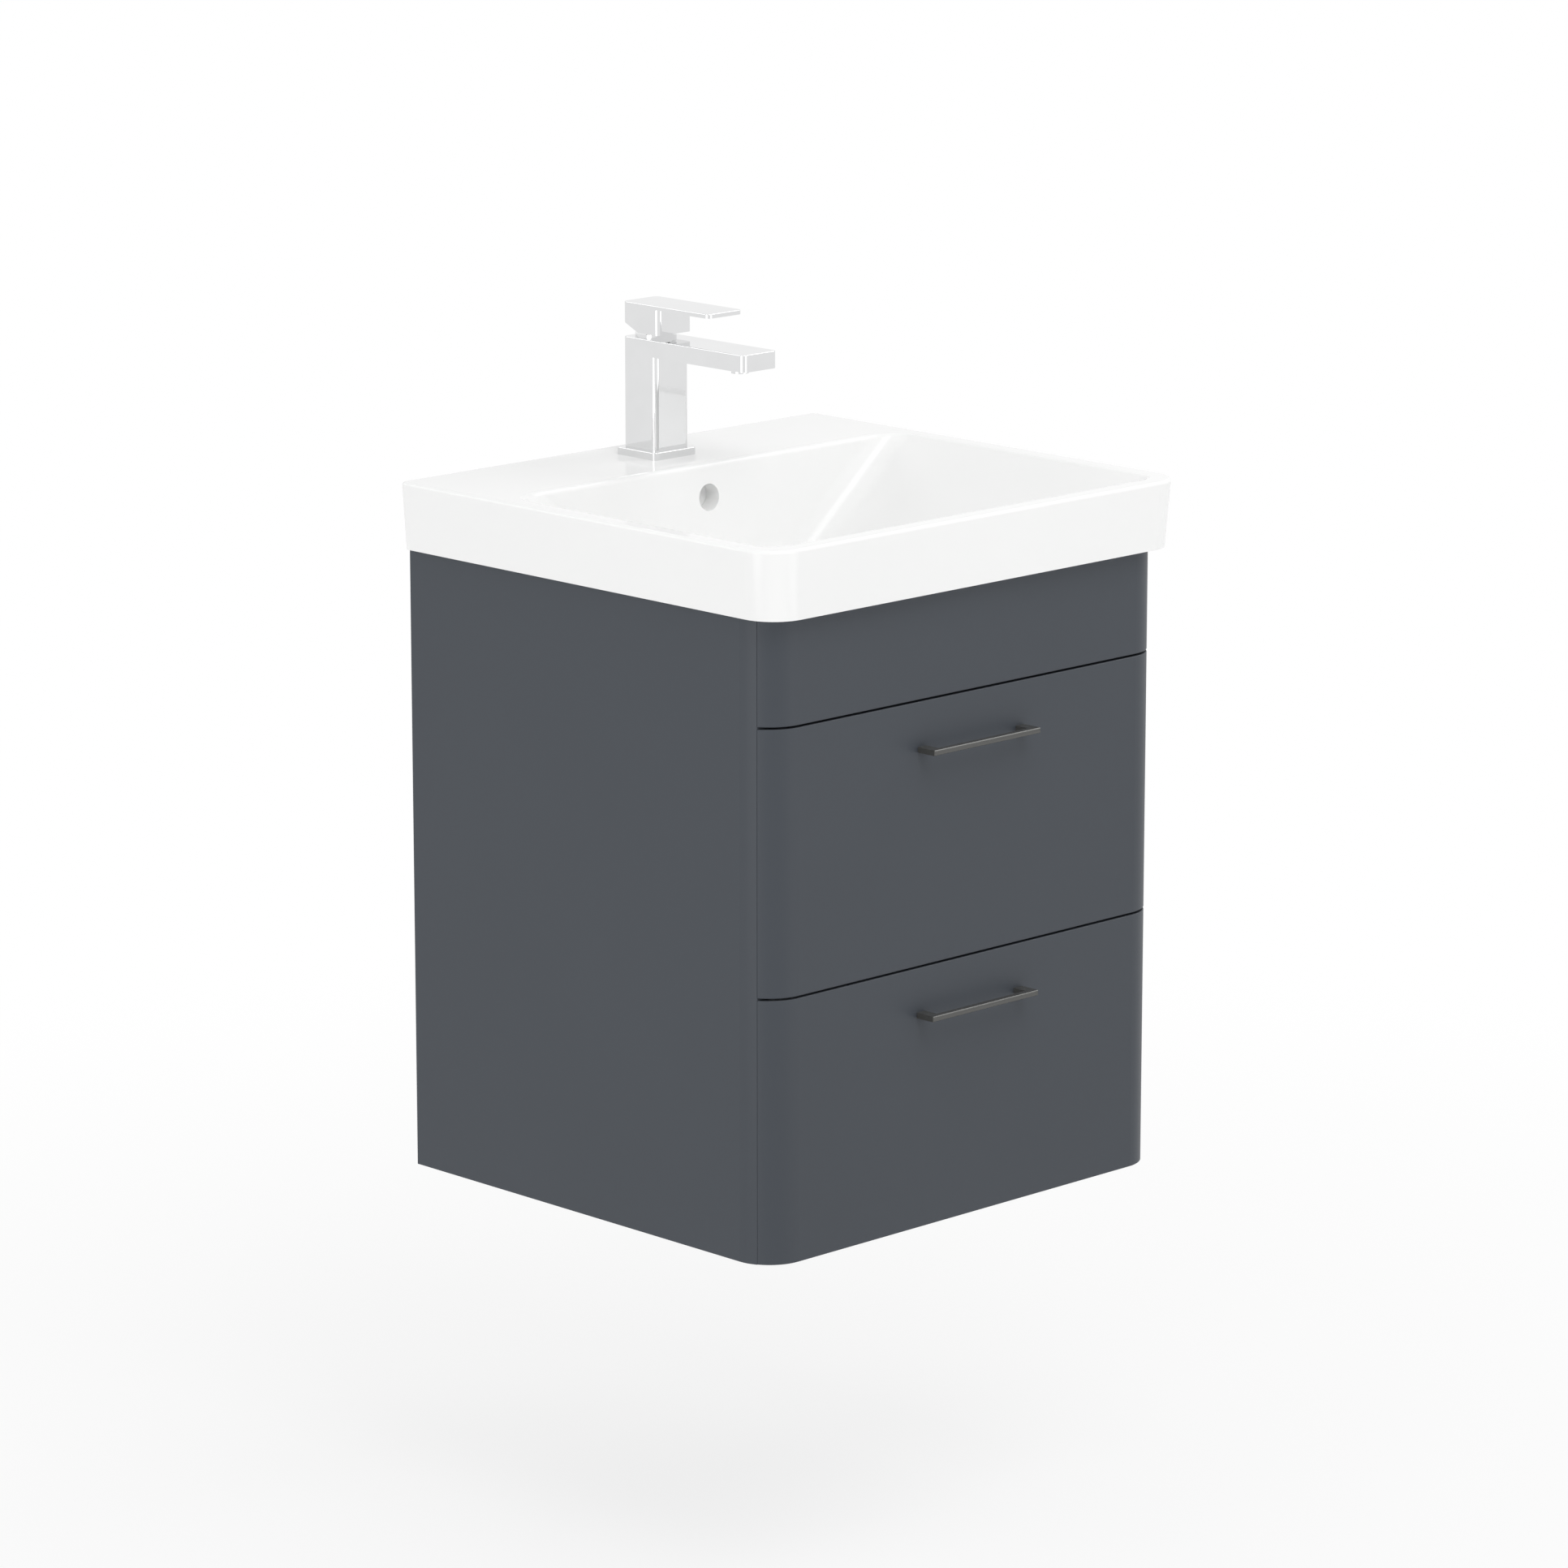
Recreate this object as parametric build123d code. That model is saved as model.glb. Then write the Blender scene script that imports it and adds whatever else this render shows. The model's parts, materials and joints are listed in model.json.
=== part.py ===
from build123d import *
import os
from math import hypot

# Bathroom vanity: a wall-hung two-drawer cabinet, its ceramic basin and its single-lever tap.
# Sizes are in millimetres. The origin is the centre of the wall screws, on the wall.
# +X is to the right seen from the front, +Y goes into the wall and +Z is up.

# Cabinet carcass
cabinet_width = 480.0
cabinet_depth = 446.0
cabinet_height = 555.0
corner_radius = 35.0
board = 18.0
front_board = 18.0
fascia_height = 90.0
front_gap = 2.0
front_clearance = 0.3
front_arris = 0.5
cross_rail_depth = 50.0
rail_height = 90.0
rail_setback = 18.0
back_board = 8.0
back_height = 222.0
groove_depth = 6.0
groove_clearance = 0.2
dowel_radius = 4.0
dowel_length = 30.0
dowel_seat = 11.0
dowel_clearance = 0.05
dowel_end_room = 0.5
dowel_inset = 60.0
rail_dowel_spacing = 24.0
fascia_dowel_spacing = 150.0

# Wall hangers
plate_inset = 25.0
plate_width = 42.0
plate_thickness = 2.5
plate_hole_spacing = 24.0
plate_hole_radius = 3.25
plate_margin = 10.0
lip_gap = 6.0
lip_height = 14.0
hook_width = 16.0
hook_thickness = 5.0
hook_finger_thickness = 3.0
hook_finger_length = 12.0
hook_play = 0.3
hook_inset = 15.0
housing_steel = 2.0
housing_length = 50.0
housing_width = 26.0
housing_headroom = 6.0
housing_drop = 6.0
adjuster_radius = 3.0
adjuster_head_radius = 5.0
adjuster_head_height = 3.0
adjuster_travel = 10.0
adjuster_setback = 16.0
screw_clearance = 0.05
notch_room = 6.0

# Drawer boxes
box_side = 15.0
box_lift = 32.0
box_drop = 26.5
box_back_room = 42.0
base_board = 8.0
base_lift = 12.0
well_width = 170.0
well_front_room = 82.8
well_corner = 30.0
well_wall = 6.0

# Runners
runner_height = 45.0
runner_space = 13.0
runner_steel = 1.2
runner_lift = 60.0
runner_setback = 2.0
runner_back_room = 7.2
channel_lip = 9.0
middle_standoff = 3.0
middle_width = 8.0
slider_gap = 0.6
bearing_height = 2.5
bearing_length = 120.0
bearing_setback = 10.0
running_clearance = 0.3

# Handles
handle_length = 129.0
handle_projection = 20.0
handle_bar = 6.0
handle_height = 4.8
handle_post = 10.0
handle_drop = 41.0
handle_bevel = 0.6
handle_screw_radius = 1.5
handle_screw_grip = 11.0
handle_screw_head_radius = 3.2
handle_screw_head_height = 2.2
handle_hole_clearance = 0.4

# Basin
rim_height = 60.0
side_overhang = 11.3
front_overhang = 14.4
side_taper = 4.5
front_taper = 2.4
basin_corner = 32.0
basin_back_corner = 6.0
rim_round = 3.0
rim_width = 18.0
deck_depth = 122.0
deck_thickness = 12.0
apron = 20.0
apron_corner = 12.0
ceramic = 10.0
bowl_depth = 105.0
bowl_side_run = 133.0
bowl_front_run = 62.0
bowl_back_run = 8.0
bowl_corner = 24.0
bowl_floor_round = 28.0
bowl_lip_round = 5.0
overflow_radius = 12.0
overflow_drop = 30.0
overflow_duct_depth = 14.0
overflow_duct_width = 64.0
overflow_duct_corner = 8.0

# Waste
waste_flange_radius = 32.0
waste_flange_height = 3.0
waste_flange_round = 1.0
waste_tail_radius = 20.95
waste_thread_depth = 0.55
waste_tail_length = 82.0
waste_bore_radius = 17.5
waste_hole_clearance = 2.0
waste_seal_overhang = 2.0
waste_top_seal = 1.5
waste_bottom_seal = 4.0
waste_nut_flats = 52.0
waste_nut_height = 10.0
waste_spider_drop = 30.0
waste_spider_height = 8.0
waste_spider_width = 10.0
plug_cap_radius = 29.0
plug_cap_height = 5.0
plug_cap_round = 3.5
plug_stem_radius = 4.0
plug_stem_tail = 12.0

# Tap
tap_from_bowl = 65.0
tap_width = 41.4
tap_edge = 4.8
tap_arris = 0.6
tap_plate_width = 51.3
tap_plate_height = 6.7
tap_plate_bore = 17.0
tap_hole_radius = 17.5
tap_body_height = 98.7
spout_reach = 132.1
spout_thickness = 15.2
cartridge_radius = 14.8
cartridge_length = 44.0
cartridge_clearance = 0.2
collar_inset = 2.3
collar_height = 3.4
turret_radius = 12.0
turret_length = 16.0
turret_clearance = 0.1
turret_collar_room = 0.4
pivot_drop = 4.6
pivot_pin_radius = 2.0
pivot_pin_inset = 1.0
pivot_clearance = 0.05
stem_width = 8.0
stem_length = 10.0
stem_swing_room = 3.5
stem_grip = 14.0
lever_length = 109.3
lever_plate = 3.9
lever_rise = 31.0
lever_block_length = 45.3
lever_gap = 4.7
lever_heel_run = 20.0
lever_heel_rise = 9.0
aerator_radius = 8.0
aerator_drop = 5.0
aerator_depth = 8.0
aerator_setback = 25.7
aerator_wall = 2.0
aerator_recess = 3.0
inlet_radius = 4.6
inlet_depth = 12.0
inlet_spacing = 19.0
inlet_forward = 5.0
stud_radius = 4.0
stud_back = 9.0
stud_depth = 12.0
stud_tail = 22.0
clamp_radius = 24.0
clamp_thickness = 3.0
clamp_mouth = 34.0
clamp_web = 1.5
clamp_nut_flats = 13.0
clamp_nut_height = 6.5

# Levels and planes that several pieces share
plate_hole_half = plate_hole_spacing / 2
plate_top = plate_hole_half + plate_margin
lip_back = -plate_thickness - lip_gap
lip_top = plate_top + lip_height
hook_top = lip_top + hook_thickness
housing_top = hook_top + housing_headroom + housing_steel
housing_bottom = lip_top - adjuster_travel - housing_steel
top = housing_top + housing_drop
bottom = top - cabinet_height
half_width = cabinet_width / 2
inner_half = half_width - board
hook_x = inner_half - hook_inset
plate_x = inner_half - plate_inset
front_face = -cabinet_depth
front_back = front_face + front_board
carcass_front = front_back + front_clearance
floor_top = bottom + board
rail_bottom = top - rail_height
rail_back = -rail_setback
rail_front = rail_back - board
drawer_front_height = (cabinet_height - fascia_height - 3 * front_gap) / 2
lower_front_bottom = bottom
upper_front_bottom = lower_front_bottom + drawer_front_height + front_gap
fascia_bottom = upper_front_bottom + drawer_front_height + front_gap
fascia_top = top - front_gap
box_half = inner_half - runner_space
box_height = drawer_front_height - box_lift - box_drop
box_back = rail_back - back_board - box_back_room
box_inside = front_back + box_side
rim_top = top + rim_height
bowl_floor = rim_top - bowl_depth
bowl_half = half_width + side_overhang - rim_width
bowl_front = front_face - front_overhang + rim_width
bowl_back = -deck_depth
waste_y = (bowl_front + bowl_front_run + bowl_back - bowl_back_run) / 2
tap_y = bowl_back + tap_from_bowl
tap_half = tap_width / 2
tap_foot = rim_top + tap_plate_height
tap_top = tap_foot + tap_body_height
pivot_z = tap_top - pivot_drop

# An edge that rises less than this is level.
level_tolerance = 0.1

parts = {}


def add(name, *solids):
    """Keep one named piece, or a group of like pieces."""
    parts[name] = solids[0] if len(solids) == 1 else Compound(children=list(solids))


def block(x0, x1, y0, y1, z0, z1):
    """A box between two corners."""
    centre = Pos((x0 + x1) / 2, (y0 + y1) / 2, (z0 + z1) / 2)
    return centre * Box(x1 - x0, y1 - y0, z1 - z0)


def rod(radius, start, end):
    """A round bar between two points."""
    along = Vector(*end) - Vector(*start)
    return extrude(Plane(origin=start, z_dir=along) * Circle(radius), amount=along.length)


def hex_bar(flats, x, y, z0, z1):
    """An upright hexagonal bar."""
    outline = RegularPolygon(flats / 2, 6, major_radius=False)
    return extrude(Plane(origin=(x, y, z0)) * outline, amount=z1 - z0)


def other_side(shape):
    """The same piece on the other side of the cabinet."""
    return mirror(shape, about=Plane.YZ)


def frustum(z0, half0, front0, back0, z1, half1, front1, back1):
    """A solid with flat sides between a rectangle at z0 and one at z1."""
    place = Plane(origin=(-half0, back0, z0), x_dir=(1, 0, 0), z_dir=(0, -1, 0))
    near_x, far_x = half0 - half1, half0 + half1
    near_y, far_y = back0 - back1, back0 - front1
    return place * Wedge(
        2 * half0, z1 - z0, back0 - front0, near_x, near_y, far_x, far_y, align=None
    )


def upright_edges(shape):
    """Edges that run between the lower and the upper face, front ones first."""
    rising = [edge for edge in shape.edges() if edge.bounding_box().size.Z > level_tolerance]
    return sorted(rising, key=lambda edge: edge.center().Y)


def cabinet_plan(z0, z1):
    """The cabinet's outline from above: square at the wall, rounded at the front corners."""
    outline = Pos(0, -cabinet_depth / 2) * Rectangle(cabinet_width, cabinet_depth)
    outline = fillet(outline.vertices().group_by(Axis.Y)[0], corner_radius)
    return extrude(Plane.XY.offset(z0) * outline, amount=z1 - z0)


# Dowels: each is given by the point where it crosses its joint and its way into the drilled face.
def dowel_joints():
    cross_rail_z = fascia_bottom + board / 2
    cross_rail_y = front_back + cross_rail_depth / 2
    half_step = rail_dowel_spacing / 2
    hanging_z = (rail_bottom + housing_bottom) / 2
    spots = [(carcass_front + dowel_inset, floor_top - board / 2)]
    spots += [(carcass_front / 2, floor_top - board / 2), (-dowel_inset, floor_top - board / 2)]
    spots += [(cross_rail_y - half_step, cross_rail_z), (cross_rail_y + half_step, cross_rail_z)]
    rail_y = (rail_front + rail_back) / 2
    spots += [(rail_y, hanging_z - half_step), (rail_y, hanging_z + half_step)]
    joints = []
    for side in (-1, 1):
        joints += [((side * inner_half, y, z), (side, 0, 0)) for y, z in spots]
    for column in (-1, 0, 1):
        joints.append(((column * fascia_dowel_spacing, front_back, cross_rail_z), (0, -1, 0)))
    return joints


def dowel(joint, clearance=0.0, end_room=0.0):
    point, way = Vector(*joint[0]), Vector(*joint[1])
    start = point - way * (dowel_length - dowel_seat + end_room)
    end = point + way * (dowel_seat + end_room)
    return rod(dowel_radius + clearance, tuple(start), tuple(end))


dowel_holes = [dowel(joint, dowel_clearance, dowel_end_room) for joint in dowel_joints()]


def carcass():
    side = cabinet_plan(bottom, top)
    side &= block(inner_half, half_width, carcass_front, 0, bottom, top)
    groove_half = groove_clearance / 2
    side -= block(
        inner_half, inner_half + groove_depth + groove_half,
        rail_back - back_board - groove_half, rail_back + groove_half,
        floor_top, floor_top + back_height + groove_half,
    )
    add("right_side_panel", side - dowel_holes)
    add("left_side_panel", other_side(side) - dowel_holes)
    floor_panel = block(-inner_half, inner_half, carcass_front, 0, bottom, floor_top)
    add("bottom_panel", floor_panel - dowel_holes)
    back_half = inner_half + groove_depth
    add("back_panel", block(
        -back_half, back_half, rail_back - back_board, rail_back, floor_top, floor_top + back_height,
    ))
    cross_rail = block(
        -inner_half, inner_half, front_back, front_back + cross_rail_depth,
        fascia_bottom, fascia_bottom + board,
    )
    add("front_cross_rail", cross_rail - dowel_holes)
    rail = block(-inner_half, inner_half, rail_front, rail_back, rail_bottom, top)
    notch = block(
        inner_half - housing_width - notch_room, inner_half, rail_front, rail_back,
        housing_bottom - notch_room, top,
    )
    add("hanging_rail", rail - notch - other_side(notch) - dowel_holes)
    add("fascia_panel", front_panel(fascia_bottom, fascia_top) - dowel_holes)
    add("wood_dowels", *[dowel(joint) for joint in dowel_joints()])


def front_panel(z0, z1):
    """A front: a board whose ends follow the cabinet's rounded corners, with eased edges."""
    panel = cabinet_plan(z0, z1) & block(-half_width, half_width, front_face, front_back, z0, z1)
    level = panel.faces().filter_by(Plane.XY).edges()
    shown = [edge for edge in level if edge.center().Y < front_back - level_tolerance]
    return chamfer(shown, front_arris)


# Wall hangers: each hook hangs on a wall plate's lip and rests on an adjusting screw.
def wall_hangers():
    x0, x1 = plate_x - plate_width / 2, plate_x + plate_width / 2
    lip_front = lip_back - plate_thickness
    plate = block(x0, x1, -plate_thickness, 0, -plate_top, plate_top)
    plate += block(x0, x1, lip_front, 0, plate_top - plate_thickness, plate_top)
    plate += block(x0, x1, lip_front, lip_back, plate_top - plate_thickness, lip_top)
    for z in (-plate_hole_half, plate_hole_half):
        plate -= rod(plate_hole_radius, (plate_x, -plate_thickness, z), (plate_x, 0, z))
    hook_x0, hook_x1 = hook_x - hook_width / 2, hook_x + hook_width / 2
    housing_front = rail_front - housing_length
    finger_front = lip_back + hook_play
    finger_back = finger_front + hook_finger_thickness
    hook = block(hook_x0, hook_x1, housing_front, finger_back, lip_top, hook_top)
    hook += block(
        hook_x0, hook_x1, finger_front, finger_back, lip_top - hook_finger_length, hook_top,
    )
    housing_x0 = inner_half - housing_width
    housing = block(housing_x0, inner_half, housing_front, rail_front, housing_bottom, housing_top)
    housing -= block(
        housing_x0, inner_half - housing_steel, housing_front, rail_front,
        housing_bottom + housing_steel, housing_top - housing_steel,
    )
    screw_y = housing_front + adjuster_setback
    screw_foot = housing_bottom - housing_steel
    head_foot = screw_foot - adjuster_head_height
    hole_radius = adjuster_radius + screw_clearance
    housing -= rod(
        hole_radius, (hook_x, screw_y, housing_bottom),
        (hook_x, screw_y, housing_bottom + housing_steel),
    )
    screw = rod(adjuster_radius, (hook_x, screw_y, screw_foot), (hook_x, screw_y, lip_top))
    screw += rod(adjuster_head_radius, (hook_x, screw_y, head_foot), (hook_x, screw_y, screw_foot))
    add("wall_plates", plate, other_side(plate))
    add("hanger_hooks", hook, other_side(hook))
    add("hanger_housings", housing, other_side(housing))
    add("hanger_adjusters", screw, other_side(screw))


# Runners: a cabinet channel, a middle member and a drawer slider nest in the space beside the box.
runner_front = carcass_front + runner_setback
runner_back = box_back - runner_back_room
middle_height = runner_height - 2 * (runner_steel + bearing_height + running_clearance)
slider_height = middle_height - 2 * (runner_steel + bearing_height + running_clearance)


def runner_bar(web_at, flange_from, flange_to, height, z):
    """A rolled steel bar with a web and two flanges, by distance from the side panel."""
    x_web, x0, x1 = inner_half - web_at, inner_half - flange_to, inner_half - flange_from
    foot, head = z - height / 2, z + height / 2
    bar = block(x_web - runner_steel, x_web, runner_front, runner_back, foot, head)
    bar += block(x0, x1, runner_front, runner_back, foot, foot + runner_steel)
    bar += block(x0, x1, runner_front, runner_back, head - runner_steel, head)
    return bar


def runner_bearings(z):
    """Nylon bearing strips on the middle member: outer ones at its back, inner ones at its front."""
    web_centre = inner_half - middle_standoff - middle_width / 2
    bearing_width = (middle_width - runner_steel) / 2
    outer_x = web_centre + runner_steel / 2
    inner_x = web_centre - runner_steel / 2 - bearing_width
    strips = []
    for up in (-1, 1):
        outer_foot = z + up * middle_height / 2
        inner_foot = z + up * (middle_height / 2 - runner_steel)
        y1 = runner_back - bearing_setback
        strips.append(block(
            outer_x, outer_x + bearing_width, y1 - bearing_length, y1,
            min(outer_foot, outer_foot + up * bearing_height),
            max(outer_foot, outer_foot + up * bearing_height),
        ))
        y0 = runner_front + bearing_setback
        strips.append(block(
            inner_x, inner_x + bearing_width, y0, y0 + bearing_length,
            min(inner_foot, inner_foot - up * bearing_height),
            max(inner_foot, inner_foot - up * bearing_height),
        ))
    return strips


def runners(drawer, z):
    channel = runner_bar(0, 0, channel_lip, runner_height, z)
    middle_end = middle_standoff + middle_width
    web_at = middle_standoff + (middle_width - runner_steel) / 2
    middle = runner_bar(web_at, middle_standoff, middle_end, middle_height, z)
    slider_from = web_at + runner_steel + slider_gap
    slider = runner_bar(runner_space - runner_steel, slider_from, runner_space, slider_height, z)
    add(f"{drawer}_right_runner_channel", channel)
    add(f"{drawer}_left_runner_channel", other_side(channel))
    add(f"{drawer}_runner_middles", middle, other_side(middle))
    add(f"{drawer}_right_runner_slider", slider)
    add(f"{drawer}_left_runner_slider", other_side(slider))
    strips = runner_bearings(z)
    add(f"{drawer}_runner_bearings", *strips, *[other_side(strip) for strip in strips])


def handle(z):
    """A flat bar bent to a shallow bow, with a blind screw hole in each post."""
    half = handle_length / 2
    face = front_face - handle_projection
    bow = block(-half, half, face, front_face, z - handle_height / 2, z + handle_height / 2)
    bow -= block(
        handle_post - half, half - handle_post, face + handle_bar, front_face,
        z - handle_height / 2, z + handle_height / 2,
    )
    bow = chamfer(bow.faces().sort_by(Axis.Y)[0].edges(), handle_bevel)
    for screw in handle_screws(z, screw_clearance):
        bow -= screw
    return bow


def handle_screws(z, clearance=0.0):
    """Screws from inside the box, through both fronts, into the handle's posts."""
    screws = []
    for side in (-1, 1):
        x = side * (handle_length - handle_post) / 2
        tip = front_face - handle_screw_grip - clearance
        shank = rod(handle_screw_radius + clearance, (x, box_inside, z), (x, tip, z))
        head_end = box_inside + handle_screw_head_height
        shank += rod(handle_screw_head_radius, (x, box_inside, z), (x, head_end, z))
        screws.append(shank)
    return screws


def handle_holes(z):
    radius = handle_screw_radius + handle_hole_clearance
    x = (handle_length - handle_post) / 2
    return [rod(radius, (side * x, front_face, z), (side * x, box_inside, z)) for side in (-1, 1)]


def well_outline(grow):
    """The trap's cut-out from above: open at the back of the box, rounded at its front corners."""
    front = waste_y - well_front_room - grow
    outline = Pos(0, (front + box_back) / 2) * Rectangle(well_width + 2 * grow, box_back - front)
    return fillet(outline.vertices().group_by(Axis.Y)[0], well_corner + grow)


def drawer(name, front_bottom, has_well):
    foot = front_bottom + box_lift
    head = foot + box_height
    base_foot = foot + base_lift
    base_head = base_foot + base_board
    inner = box_half - box_side
    play = groove_clearance / 2
    handle_z = front_bottom + drawer_front_height - handle_drop
    holes = handle_holes(handle_z)
    add(f"{name}_drawer_front", front_panel(front_bottom, front_bottom + drawer_front_height) - holes)
    add(f"{name}_handle", handle(handle_z))
    add(f"{name}_handle_screws", *handle_screws(handle_z))
    groove_half = inner + groove_depth + play
    groove = block(
        -groove_half, groove_half, box_inside - groove_depth - play, box_back, base_foot, base_head + play,
    )
    side = block(inner, box_half, front_back, box_back, foot, head) - groove
    add(f"{name}_box_right_side", side)
    add(f"{name}_box_left_side", other_side(side))
    inner_front = block(-inner, inner, front_back, box_inside, foot, head)
    add(f"{name}_box_front", inner_front - groove - holes)
    base_half = inner + groove_depth
    base = block(-base_half, base_half, box_inside - groove_depth, box_back, base_foot, base_head)
    if has_well:
        base -= extrude(Plane.XY.offset(base_foot) * well_outline(0), amount=base_board)
        wall = well_outline(well_wall) - well_outline(0)
        surround = extrude(Plane.XY.offset(base_head) * wall, amount=head - base_head)
        add(f"{name}_box_trap_surround", surround)
        well_half = well_width / 2 + well_wall
        half_rear = block(well_half, inner, box_back - box_side, box_back, base_head, head)
        add(f"{name}_box_right_back", half_rear)
        add(f"{name}_box_left_back", other_side(half_rear))
    else:
        add(f"{name}_box_back", block(-inner, inner, box_back - box_side, box_back, base_head, head))
    add(f"{name}_box_base", base)
    runners(name, foot + runner_lift)


# Basin: a tapered rim with a flat deck at the wall, and a bowl of flat sloping walls hung inside it.
def bowl(low, wall):
    """The bowl's inside, or with a wall its outside, from the rim down to the level low."""
    drop = rim_top - low
    side_slope, front_slope = bowl_side_run / bowl_depth, bowl_front_run / bowl_depth
    back_slope = bowl_back_run / bowl_depth
    half = bowl_half + wall * hypot(1, side_slope)
    front = bowl_front - wall * hypot(1, front_slope)
    back = bowl_back + wall * hypot(1, back_slope)
    low_half, low_front = half - drop * side_slope, front + drop * front_slope
    shape = frustum(
        low, low_half, low_front, back - drop * back_slope, rim_top, half, front, back,
    )
    shape = fillet(upright_edges(shape), bowl_corner + wall)
    return fillet(shape.faces().sort_by(Axis.Z)[0].edges(), bowl_floor_round + wall)


def basin():
    top_half = half_width + side_overhang
    low_half = top_half - side_taper
    top_front = front_face - front_overhang
    low_front = top_front + front_taper
    rim = frustum(top, low_half, low_front, 0, rim_top, top_half, top_front, 0)
    rim = fillet(upright_edges(rim)[:2], basin_corner)
    rim = fillet(upright_edges(rim)[-2:], basin_back_corner)
    rim = fillet(rim.faces().sort_by(Axis.Z)[-1].edges(), rim_round)
    deck_under = rim_top - deck_thickness
    hollow = block(
        apron - low_half, low_half - apron, low_front + apron, -apron, top, deck_under,
    )
    rim -= fillet(upright_edges(hollow), apron_corner)
    low = bowl_floor - ceramic
    shell_top = rim_top - deck_thickness / 2
    shell = bowl(low, ceramic) & block(-top_half, top_half, top_front, 0, low, shell_top)
    duct_back = bowl_back + ceramic + overflow_duct_depth
    duct_half = overflow_duct_width / 2
    duct = block(-duct_half, duct_half, bowl_back - bowl_back_run, duct_back, low, deck_under)
    duct = fillet(upright_edges(duct)[-2:], overflow_duct_corner)
    ware = rim + shell + duct - bowl(bowl_floor, 0)
    deck = ware.faces().filter_by(Plane.XY).sort_by(Axis.Z)[-1]
    ware = fillet(deck.inner_wires().edges(), bowl_lip_round)
    overflow_z = rim_top - overflow_drop
    ware -= rod(
        overflow_radius, (0, bowl_back - 2 * bowl_back_run, overflow_z),
        (0, duct_back - ceramic, overflow_z),
    )
    waste_hole = waste_tail_radius + waste_hole_clearance
    ware -= rod(waste_hole, (0, waste_y, low), (0, waste_y, bowl_floor))
    ware -= rod(tap_hole_radius, (0, tap_y, deck_under), (0, tap_y, rim_top))
    add("basin", ware)


# Waste: a flanged tail clamped through the bowl's floor, with a plug on a guided stem.
def waste():
    flange_foot = bowl_floor + waste_top_seal
    flange_top = flange_foot + waste_flange_height
    ware_under = bowl_floor - ceramic
    seal_foot = ware_under - waste_bottom_seal
    nut_foot = seal_foot - waste_nut_height
    tail_foot = bowl_floor - waste_tail_length
    shank_radius = waste_tail_radius - waste_thread_depth
    hole_radius = shank_radius + screw_clearance

    def disc(radius, z0, z1):
        return rod(radius, (0, waste_y, z0), (0, waste_y, z1))

    flange = disc(waste_flange_radius, flange_foot, flange_top)
    flange = fillet(flange.faces().sort_by(Axis.Z)[-1].edges(), waste_flange_round)
    body = flange + disc(shank_radius, nut_foot, flange_foot)
    body += disc(waste_tail_radius, tail_foot, nut_foot)
    body -= disc(waste_bore_radius, tail_foot, flange_top)
    spider_top = bowl_floor - waste_spider_drop
    spider_foot = spider_top - waste_spider_height
    spider = block(
        -waste_tail_radius, waste_tail_radius, waste_y - waste_spider_width / 2,
        waste_y + waste_spider_width / 2, spider_foot, spider_top,
    )
    spider &= disc((waste_tail_radius + waste_bore_radius) / 2, spider_foot, spider_top)
    stem_hole = disc(plug_stem_radius + screw_clearance, spider_foot, spider_top)
    add("waste_body", body + spider - stem_hole)
    seal_radius = waste_flange_radius - waste_seal_overhang
    upper_seal = disc(seal_radius, bowl_floor, flange_foot) - disc(hole_radius, bowl_floor, flange_foot)
    lower_seal = disc(seal_radius, seal_foot, ware_under) - disc(hole_radius, seal_foot, ware_under)
    add("waste_seals", upper_seal, lower_seal)
    nut = hex_bar(waste_nut_flats, 0, waste_y, nut_foot, seal_foot)
    add("waste_backnut", nut - disc(hole_radius, nut_foot, seal_foot))
    cap_foot = flange_top + running_clearance
    cap = disc(plug_cap_radius, cap_foot, cap_foot + plug_cap_height)
    cap = fillet(cap.faces().sort_by(Axis.Z)[-1].edges(), plug_cap_round)
    add("waste_plug", cap + disc(plug_stem_radius, spider_foot - plug_stem_tail, cap_foot))


# Tap: a square column with a flat spout, on a square plate, clamped to the deck by one stud.
def ease_top(shape):
    """The tap's finish for an upper face: a slight round along its edges."""
    return fillet(shape.faces().sort_by(Axis.Z)[-1].edges(), tap_arris)


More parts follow.
